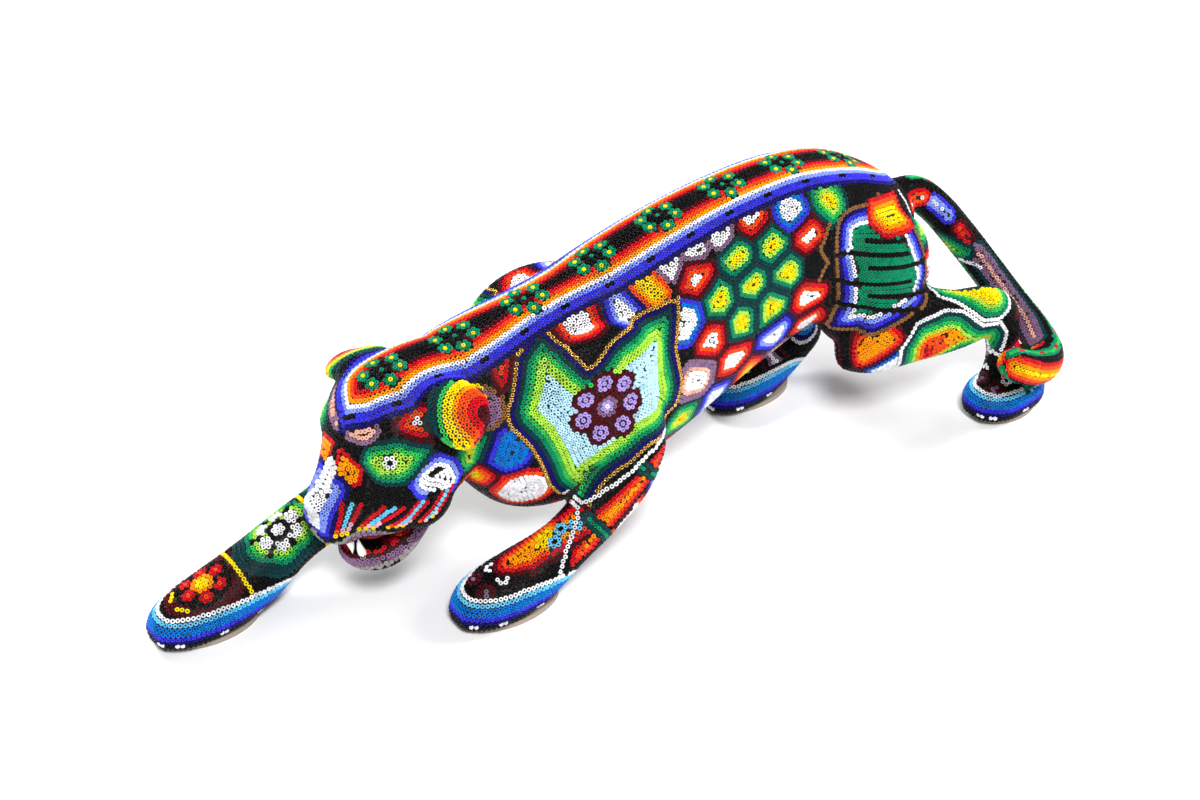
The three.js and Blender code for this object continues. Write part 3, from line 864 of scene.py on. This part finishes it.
# How far a bead pushes its neighbours, as a share of the pitch, and how much of the overlap it takes a round.
NEIGHBOUR = 1.15
PUSH = 0.3
SHIFT_LIMIT = 0.7
# The closest beads that both stay, the widest gap, and the rounds of settling, for each pass.
PASSES = ((1.35, 1.6, 24), (1.6, 1.75, 12))
CLOSEST = 1.55
LOWEST = SOLE_TOP + 0.6


def contour_loops(field, level, barrier):
    """Closed lines on the surface where the field passes the level, with the barrier's value on them."""
    values = field[TRIANGLES]
    above = values > level
    count = above.sum(1)
    chosen = np.nonzero((count == 1) | (count == 2))[0]
    if not len(chosen):
        return []
    corners, above, count = TRIANGLES[chosen], above[chosen], count[chosen]
    lone = np.where(count == 1, above.argmax(1), above.argmin(1))
    each = np.arange(len(chosen))
    apex, left, right = corners[each, lone], corners[each, (lone + 1) % 3], corners[each, (lone + 2) % 3]
    ends = np.concatenate([np.stack([apex, left], 1), np.stack([apex, right], 1)])
    ends.sort(axis=1)
    keys = ends[:, 0].astype(np.int64) * len(POINTS) + ends[:, 1]
    unique, first, inverse = np.unique(keys, return_index=True, return_inverse=True)
    low, high = ends[first, 0], ends[first, 1]
    share = ((level - field[low]) / (field[high] - field[low]))[:, None]
    carried = np.hstack([POINTS, barrier[:, None]])
    crossings = carried[low] * (1 - share) + carried[high] * share
    inverse = inverse.reshape(-1)
    one, other = inverse[:len(chosen)], inverse[len(chosen):]
    order = np.argsort(np.concatenate([one, other]), kind="stable")
    links = np.concatenate([other, one])[order].reshape(-1, 2).tolist()
    loops, seen = [], [False] * len(unique)
    for start in range(len(unique)):
        if seen[start]:
            continue
        loop, here = [], start
        while not seen[here]:
            seen[here] = True
            loop.append(here)
            a, b = links[here]
            here = a if not seen[a] else b
        loops.append(crossings[loop])
    return loops


def loop_beads(loop):
    """Bead places evenly round a closed loop."""
    rows = np.vstack([loop, loop[:1]])
    length = np.linalg.norm(np.diff(rows[:, :3], axis=0), axis=1).sum()
    if length < SHORT_LOOP:
        return loop.mean(0)[None]
    return spaced(rows, PITCH)[:-1]


def row_beads(depth, rows, dots, outside):
    """The beads of one region, without those that lie in a region before it."""
    places, colours = [], []
    for row in range(int(depth.max() / ROW + 0.5)):
        name = rows[min(row, len(rows) - 1)]
        for loop in contour_loops(depth, (row + 0.5) * ROW, outside):
            found = loop_beads(loop)
            names = [name] * len(found)
            if dots and dots[0] == row:
                names = [dots[3] if index % dots[1] < dots[2] else name for index in range(len(found))]
            keep = found[:, 3] > CLEARANCE
            places.append(found[keep, :3])
            colours += [NAMES.index(name) for name, kept in zip(names, keep) if kept]
    return places, colours


def clear_beads(beads, barrier):
    """The places and colours of a region's own beads that lie in no region before it."""
    corners = [TRIANGLES[TREE.find_nearest(Vector(place))[2]][0] for place in beads[0]]
    keep = [index for index, corner in enumerate(corners) if barrier[corner] > 0]
    return [beads[0][index] for index in keep], [NAMES.index(beads[1][index]) for index in keep]


def lay_rows():
    """All beads of all rows: places, colours, and the colour that each surface point would have."""
    single, single_colours, places, colours = [], [], [], []
    owner = np.full(len(POINTS), NAMES.index("black"))
    barrier = np.full(len(POINTS), FAR)
    for field, rows, dots, limit, beads in regions:
        area = np.minimum(field, limit)
        found = clear_beads(beads, barrier)
        single += found[0]
        single_colours += found[1]
        inside = (area > 0) & (barrier > 0)
        if not rows:
            owner[inside] = NAMES.index(beads[1][0])
        else:
            step = np.minimum((field[inside] / ROW).astype(int), len(rows) - 1)
            owner[inside] = np.array([NAMES.index(name) for name in rows])[step]
            found = row_beads(field, rows, dots, np.minimum(barrier, limit))
            places += found[0]
            colours += found[1]
        barrier = np.minimum(barrier, -area)
    found = row_beads(barrier, GROUND_ROWS.split(), None, np.full(len(POINTS), FAR))
    return np.vstack(single + places + found[0]), np.array(single_colours + colours + found[1]), owner


def tree_of(places):
    tree = KDTree(len(places))
    for index, place in enumerate(places):
        tree.insert(place, index)
    tree.balance()
    return tree


def fill_gaps(places, colours, owner, gap):
    """Adds beads wherever a surface point is further than the gap from any bead."""
    tree = tree_of(places)
    away = np.array([tree.find(point)[2] for point in POINTS])
    added = []
    for index in np.argsort(-away):
        if away[index] < gap:
            break
        if all(np.abs(POINTS[index] - POINTS[other]).max() > gap
               or np.linalg.norm(POINTS[index] - POINTS[other]) > gap for other in added[-RECENT:]):
            added.append(index)
    return np.vstack([places, POINTS[added]]), np.concatenate([colours, owner[added]])


def prune(places, closest):
    """Which beads stay when the later one of each pair that is too close goes."""
    tree = tree_of(places)
    keep = np.ones(len(places), bool)
    for index, place in enumerate(places):
        if keep[index]:
            for _, other, _ in tree.find_range(place, closest):
                if other > index:
                    keep[other] = False
    return keep


def settle(places, rounds):
    """Pushes crowded beads apart, each by SHIFT_LIMIT at most."""
    tree = tree_of(places)
    pairs = np.array([(index, other) for index, place in enumerate(places)
                      for _, other, _ in tree.find_range(place, PITCH * NEIGHBOUR) if other > index])
    moved = places.copy()
    for _ in range(rounds):
        gap = moved[pairs[:, 0]] - moved[pairs[:, 1]]
        length = np.linalg.norm(gap, axis=1)
        push = gap * (np.clip(PITCH - length, 0, None) / np.maximum(length, 0.1) * PUSH)[:, None]
        np.add.at(moved, pairs[:, 0], push)
        np.add.at(moved, pairs[:, 1], -push)
        shift = moved - places
        size = np.linalg.norm(shift, axis=1)[:, None]
        moved = places + shift * np.minimum(1, SHIFT_LIMIT / np.maximum(size, 1e-6))
    return moved


# ---------------------------------------------------------------- the bead pieces

BEAD_SIDES = 9
BEAD_SINK = 0.62
# How much beads tilt and differ in size, and how often each tone comes up.
BEAD_TILT = 0.06
BEAD_SPREAD = 0.025
TONE_SHARES = (0.25, 0.5, 0.25)
# Radius and height round a bead's wall, from the hole outwards and back underneath.
BEAD_WALL = [(0.40, 0.0), (0.56, 0.52), (0.82, 0.48), (0.98, 0.02), (0.74, -0.6)]
BEADS_PER_PIECE = 2000
random = np.random.default_rng(11)


def bead_template():
    """The points and faces of one bead that lies flat round the zero point."""
    angle = np.linspace(0, 2 * np.pi, BEAD_SIDES, endpoint=False)
    wall = np.array(BEAD_WALL)
    points = np.stack([np.outer(np.cos(angle), wall[:, 0]), np.outer(np.sin(angle), wall[:, 0]),
                       np.tile(wall[:, 1], (BEAD_SIDES, 1))], 2).reshape(-1, 3)
    depth = len(wall)
    faces = [(side * depth + step, (side + 1) % BEAD_SIDES * depth + step,
              (side + 1) % BEAD_SIDES * depth + (step + 1) % depth, side * depth + (step + 1) % depth)
             for side in range(BEAD_SIDES) for step in range(depth)]
    return points, np.array(faces)


def bead_frames(normals):
    """Three axes for each bead: a slightly tilted normal, turned at random."""
    upward = normals + random.normal(0, BEAD_TILT, normals.shape)
    upward /= np.linalg.norm(upward, axis=1)[:, None]
    across = np.cross(upward, random.normal(0, 1, normals.shape))
    across /= np.linalg.norm(across, axis=1)[:, None]
    return np.stack([across, np.cross(upward, across), upward], 1)


def new_material(name):
    made = bpy.data.materials.new(name)
    made.use_nodes = True
    return made


def glass(name, rgb, tone):
    """Opaque glossy glass, or gilt for the gold beads."""
    made = new_material(name)
    shader = made.node_tree.nodes["Principled BSDF"].inputs
    linear = [min(1.0, (value / 255) ** GAMMA * tone) for value in rgb]
    shader["Base Color"].default_value = (*linear, 1)
    shader["Roughness"].default_value = 0.24
    shader["Specular IOR Level"].default_value = 0.1
    shader["Coat Weight"].default_value = 0.07
    shader["Coat Roughness"].default_value = 0.05
    if name.startswith("gold"):
        shader["Metallic"].default_value = 0.85
    return made


MATERIALS = [glass(name + "_glass_" + str(step + 1), rgb, tone)
             for name, rgb in COLOURS.items() for step, tone in enumerate(TONES)]


def make_beads(name, places, normals, colours):
    """One piece with a bead at each place, in a random tone of its colour."""
    template, faces = bead_template()
    count = len(places)
    frames = bead_frames(normals)
    size = random.normal(1, BEAD_SPREAD, (count, 1, 1))
    points = np.einsum("ti,bij->btj", template, frames) * size + (places - normals * BEAD_SINK)[:, None]
    corners = (faces[None] + (np.arange(count) * len(template))[:, None, None]).reshape(-1)
    mesh = bpy.data.meshes.new(name)
    mesh.vertices.add(count * len(template))
    mesh.vertices.foreach_set("co", ((points + SHIFT) * MM).reshape(-1))
    mesh.loops.add(len(corners))
    mesh.loops.foreach_set("vertex_index", corners.astype(np.int32))
    mesh.polygons.add(count * len(faces))
    mesh.polygons.foreach_set("loop_start", np.arange(0, len(corners), 4, dtype=np.int32))
    mesh.polygons.foreach_set("use_smooth", np.ones(count * len(faces), bool))
    shades = colours * len(TONES) + random.choice(len(TONES), count, p=TONE_SHARES)
    used, slots = np.unique(shades, return_inverse=True)
    for shade in used:
        mesh.materials.append(MATERIALS[shade])
    mesh.polygons.foreach_set("material_index", np.repeat(slots.reshape(-1), len(faces)).astype(np.int32))
    mesh.update(calc_edges=True)
    return linked(name, mesh)


# The skins of the carved pieces under the bead nodes of the frame. The torso's is shared out further down.
SKINS = {
    "left_flank_beads": [upright(TORSO)], "head_beads": [upright(HEAD)],
    "lower_jaw_beads": [limb(LOWER_JAW)], "tail_beads": [limb(TAIL, TAIL_HINT)],
    "left_ear_beads": [limb(LEFT_EAR, EAR_HINT)], "right_ear_beads": [limb(RIGHT_EAR, EAR_HINT)],
    "left_foreleg_beads": [limb(LEFT_FORELEG)], "right_foreleg_beads": [limb(RIGHT_FORELEG)],
    "left_hindleg_beads": [limb(LEFT_THIGH), limb(LEFT_SHANK), limb(LEFT_HIND_PAW)],
    "right_hindleg_beads": [limb(RIGHT_THIGH), limb(RIGHT_HIND_PAW)],
}
SLOTS = {
    "back_beads": "warm_beads", "left_flank_beads": "green_beads", "right_flank_beads": "green_beads",
    "head_beads": "dark_beads", "lower_jaw_beads": "dark_beads", "left_ear_beads": "warm_beads",
    "right_ear_beads": "warm_beads", "left_foreleg_beads": "red_beads", "right_foreleg_beads": "green_beads",
    "left_hindleg_beads": "green_beads", "right_hindleg_beads": "blue_beads", "tail_beads": "dark_beads",
}
BACK_HALF_WIDTH = 18
BACK_BOTTOM = 90


def nodes_of(places):
    """The name of the bead node that each bead belongs to."""
    owners = [name for name, skins in SKINS.items() for points, _ in skins for _ in points]
    tree = tree_of(np.vstack([points for skins in SKINS.values() for points, _ in skins]))
    found = [owners[tree.find(place)[1]] for place in places]
    for index, (x, y, z) in enumerate(places):
        if found[index] == "left_flank_beads":
            if abs(y) < BACK_HALF_WIDTH and z > BACK_BOTTOM:
                found[index] = "back_beads"
            elif y > 0:
                found[index] = "right_flank_beads"
    return np.array(found)


def add_beads():
    """Lays the beads, and makes them into pieces that replace the bead nodes of the frame."""
    add_pattern()
    places, colours, owner = lay_rows()
    for closest, gap, rounds in PASSES:
        keep = prune(places, closest)
        places, colours = fill_gaps(places[keep], colours[keep], owner, gap)
        places = settle(places, rounds)
    keep = prune(places, CLOSEST) & (places[:, 2] > LOWEST)
    places, colours = places[keep], colours[keep]
    found = [TREE.find_nearest(Vector(place)) for place in places]
    places = np.array([hit[0] for hit in found])
    normals = NORMALS[TRIANGLES[[hit[2] for hit in found]]].mean(1)
    normals /= np.linalg.norm(normals, axis=1)[:, None]
    nodes = nodes_of(places)
    for node in SLOTS:
        members = np.nonzero(nodes == node)[0]
        members = members[np.argsort(places[members, 0], kind="stable")]
        parts = max(1, math.ceil(len(members) / BEADS_PER_PIECE))
        for index, group in enumerate(np.array_split(members, parts)):
            piece = make_beads(node + "_" + str(index + 1), places[group], normals[group], colours[group])
            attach(piece, "root")
            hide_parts(node)


# ---------------------------------------------------------------- wax, wood and the rest

WAX_VOXEL = 1.5
# How deep the wax lies under the surface, and how high it is cut off above the ground.
WAX_SINK = 0.9
WAX_FOOT = 2.6
RELIEF = 0.0004
WOOD_STRETCH = (0.12, 1, 1)

FANG_SIDES = 14
FANG_STEPS = 12
# A fang's length against its node's, its width, its taper, its flatness, its tip in metres, and its curve.
FANG_LENGTH = 1.12
FANG_WIDTH = 0.98
FANG_TAPER = 1.8
FANG_FLATNESS = 0.82
FANG_TIP = 0.00004
FANG_BEND = 1.7
FANG_CURL = 0.2
# The groove along the tongue and its rise at both ends, against half its size.
GROOVE_DEPTH = 0.32
GROOVE_WIDTH = 0.28
TONGUE_RISE = 0.35


def noise_mix(made, scale, dark, light, roughness, bump):
    """Makes a material's colour and surface vary with noise. Returns the noise and its coordinates."""
    nodes, links = made.node_tree.nodes, made.node_tree.links
    shader = nodes["Principled BSDF"]
    place = nodes.new("ShaderNodeTexCoord")
    noise = nodes.new("ShaderNodeTexNoise")
    noise.inputs["Scale"].default_value = scale
    noise.inputs["Detail"].default_value = 5
    ramp = nodes.new("ShaderNodeValToRGB")
    ramp.color_ramp.elements[0].color = (*dark, 1)
    ramp.color_ramp.elements[1].color = (*light, 1)
    relief = nodes.new("ShaderNodeBump")
    relief.inputs["Strength"].default_value = bump
    relief.inputs["Distance"].default_value = RELIEF
    links.new(place.outputs["Object"], noise.inputs["Vector"])
    links.new(noise.outputs["Fac"], ramp.inputs["Fac"])
    links.new(ramp.outputs["Color"], shader.inputs["Base Color"])
    links.new(noise.outputs["Fac"], relief.inputs["Height"])
    links.new(relief.outputs["Normal"], shader.inputs["Normal"])
    shader.inputs["Roughness"].default_value = roughness
    return noise, place


def wax_material():
    made = new_material("dark_wax")
    noise_mix(made, 260, (0.006, 0.005, 0.004), (0.026, 0.019, 0.015), 0.48, 0.5)
    made.node_tree.nodes["Principled BSDF"].inputs["Specular IOR Level"].default_value = 0.15
    return made


def wood_material(name, dark, light):
    """Wood with its grain along X."""
    made = new_material(name)
    noise, place = noise_mix(made, 120, dark, light, 0.62, 0.35)
    stretch = made.node_tree.nodes.new("ShaderNodeMapping")
    stretch.inputs["Scale"].default_value = WOOD_STRETCH
    made.node_tree.links.new(place.outputs["Object"], stretch.inputs["Vector"])
    made.node_tree.links.new(stretch.outputs["Vector"], noise.inputs["Vector"])
    return made


def dress(made, material):
    """Smooth shading and one material for a whole piece."""
    made.data.polygons.foreach_set("use_smooth", np.ones(len(made.data.polygons), bool))
    made.data.materials.clear()
    made.data.materials.append(material)


def add_wax():
    """One coat under all the beads, cut off flat over the soles."""
    wax = carve_body("wax_coat", WAX_VOXEL)
    points, normals, _ = read_surface(wax)
    wax.data.vertices.foreach_set("co", ((points - normals * WAX_SINK + SHIFT) * MM).reshape(-1))
    edit = bmesh.new()
    edit.from_mesh(wax.data)
    cut = bmesh.ops.bisect_plane(edit, geom=edit.verts[:] + edit.edges[:] + edit.faces[:],
                                 plane_co=(0, 0, WAX_FOOT * MM), plane_no=(0, 0, -1), clear_outer=True)
    rim = [item for item in cut["geom_cut"] if isinstance(item, bmesh.types.BMEdge)]
    bmesh.ops.edgeloop_fill(edit, edges=rim)
    edit.to_mesh(wax.data)
    edit.free()
    dress(wax, wax_material())
    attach(wax, "root")
    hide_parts(*[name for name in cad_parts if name.endswith("_wax_coat")])


def add_fang(node, ivory):
    """A curved fang, thick at its root and pointed at its tip, in place of the node."""
    low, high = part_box(node)
    middle = (low + high) / 2
    root_up = node.endswith("upper_fang")
    length = (high.z - low.z) * FANG_LENGTH
    curl = length * FANG_CURL * (1 if root_up else -1)
    rings = []
    for step in range(FANG_STEPS + 1):
        share = step / FANG_STEPS
        radius = (high.x - low.x) * 0.5 * (1 - share ** FANG_TAPER) * FANG_WIDTH + FANG_TIP
        height = high.z - length * share if root_up else low.z + length * share
        centre = Vector((middle.x + math.sin(share * FANG_BEND) * curl, middle.y, height))
        angles = [2 * math.pi * side / FANG_SIDES for side in range(FANG_SIDES)]
        ring = [centre + Vector((radius * math.cos(angle), radius * FANG_FLATNESS * math.sin(angle), 0))
                for angle in (reversed(angles) if root_up else angles)]
        rings.append(np.array([list(point) for point in ring]))
    points, faces = skin(rings)
    piece = make_object(node + "_ivory", points / MM - SHIFT, faces)
    dress(piece, ivory)
    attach(piece, "root")
    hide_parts(node)


def add_tongue(red):
    """A tongue with a groove along its middle, in place of the node."""
    low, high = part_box("tongue")
    middle, half = (low + high) / 2, (high - low) / 2
    points, faces = egg((0, 0, 0), (1, 1, 1), rows=22, count=28)
    groove = GROOVE_DEPTH * np.exp(-(points[:, 1] / GROOVE_WIDTH) ** 2)
    points[:, 2] -= groove * (points[:, 2] > 0)
    points[:, 2] += TONGUE_RISE * points[:, 0] ** 2
    spread = points * np.array(half) + np.array(middle)
    piece = make_object("tongue_red", spread / MM - SHIFT, faces)
    dress(piece, red)
    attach(piece, "root")
    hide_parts("tongue")


def add_mouth_pieces():
    ivory, red = new_material("fang_ivory"), new_material("tongue_wax")
    noise_mix(ivory, 300, (0.80, 0.76, 0.68), (0.93, 0.91, 0.86), 0.25, 0.1)
    noise_mix(red, 500, (0.35, 0.01, 0.02), (0.62, 0.03, 0.04), 0.3, 0.4)
    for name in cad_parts:
        if name.endswith("_fang"):
            add_fang(name, ivory)
    add_tongue(red)


def finish_nodes():
    """Wood for the frame's own pieces."""
    woods = {
        "_core": wood_material("carved_wood", (0.42, 0.24, 0.11), (0.62, 0.40, 0.21)),
        "_peg": wood_material("peg_wood", (0.30, 0.17, 0.08), (0.46, 0.29, 0.15)),
        "_sole": wood_material("bare_sole_wood", (0.22, 0.17, 0.14), (0.42, 0.35, 0.29)),
    }
    for name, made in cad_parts.items():
        for ending, wood in woods.items():
            if name.endswith(ending):
                for slot in made.material_slots:
                    slot.material = wood


# ---------------------------------------------------------------- the studio, in metres

FLOOR_HALF = 4.0
# Name, place, size and watts of each light.
LIGHTS = [("key", (-0.5, -0.9, 1.3), 0.4, 28), ("fill", (1.1, -0.5, 0.8), 0.5, 12),
          ("back", (-0.2, 1.1, 1.0), 0.6, 17)]
WORLD_COLOUR = (0.95, 0.97, 1, 1)
WORLD_STRENGTH = 0.16
CAMERA_AZIMUTH = math.radians(-36)
CAMERA_ELEVATION = math.radians(35)
CAMERA_DISTANCE = 0.8
# What the camera looks at, in plan millimetres.
CAMERA_TARGET = (0, 0, 50)


def add_stage():
    floor = bpy.data.meshes.new("floor")
    half = FLOOR_HALF
    corners = [(-half, -half, 0), (half, -half, 0), (half, half, 0), (-half, half, 0)]
    floor.from_pydata(corners, [], [(0, 1, 2, 3)])
    made = linked("floor", floor)
    pale = new_material("pale_floor")
    noise_mix(pale, 3, (0.92, 0.92, 0.93), (0.96, 0.96, 0.96), 0.6, 0.0)
    floor.materials.append(pale)


def aimed(way):
    """The turn that points a light's or the camera's back along the way."""
    return way.to_track_quat("Z", "Y").to_euler()


def add_lights():
    for name, place, size, watts in LIGHTS:
        light = bpy.data.lights.new(name, "AREA")
        light.size = size
        light.energy = watts
        made = linked(name, light)
        made.location = place
        made.rotation_euler = aimed(Vector(place))
    world = bpy.data.worlds.new("studio")
    world.use_nodes = True
    background = world.node_tree.nodes["Background"].inputs
    background["Color"].default_value = WORLD_COLOUR
    background["Strength"].default_value = WORLD_STRENGTH
    bpy.context.scene.world = world
    bpy.context.scene.view_settings.view_transform = "Standard"


def add_camera():
    level = math.cos(CAMERA_ELEVATION)
    back = Vector((math.sin(CAMERA_AZIMUTH) * level, -math.cos(CAMERA_AZIMUTH) * level,
                   math.sin(CAMERA_ELEVATION)))
    camera = bpy.data.cameras.new("camera")
    camera.lens = 58.5
    camera.sensor_width = 36
    made = linked("camera", camera)
    made.location = Vector(((SHIFT + CAMERA_TARGET) * MM).tolist()) + back * CAMERA_DISTANCE
    made.rotation_euler = aimed(back)
    bpy.context.scene.camera = made


add_camera()
add_lights()
add_stage()
finish_nodes()
add_wax()
add_mouth_pieces()
add_beads()
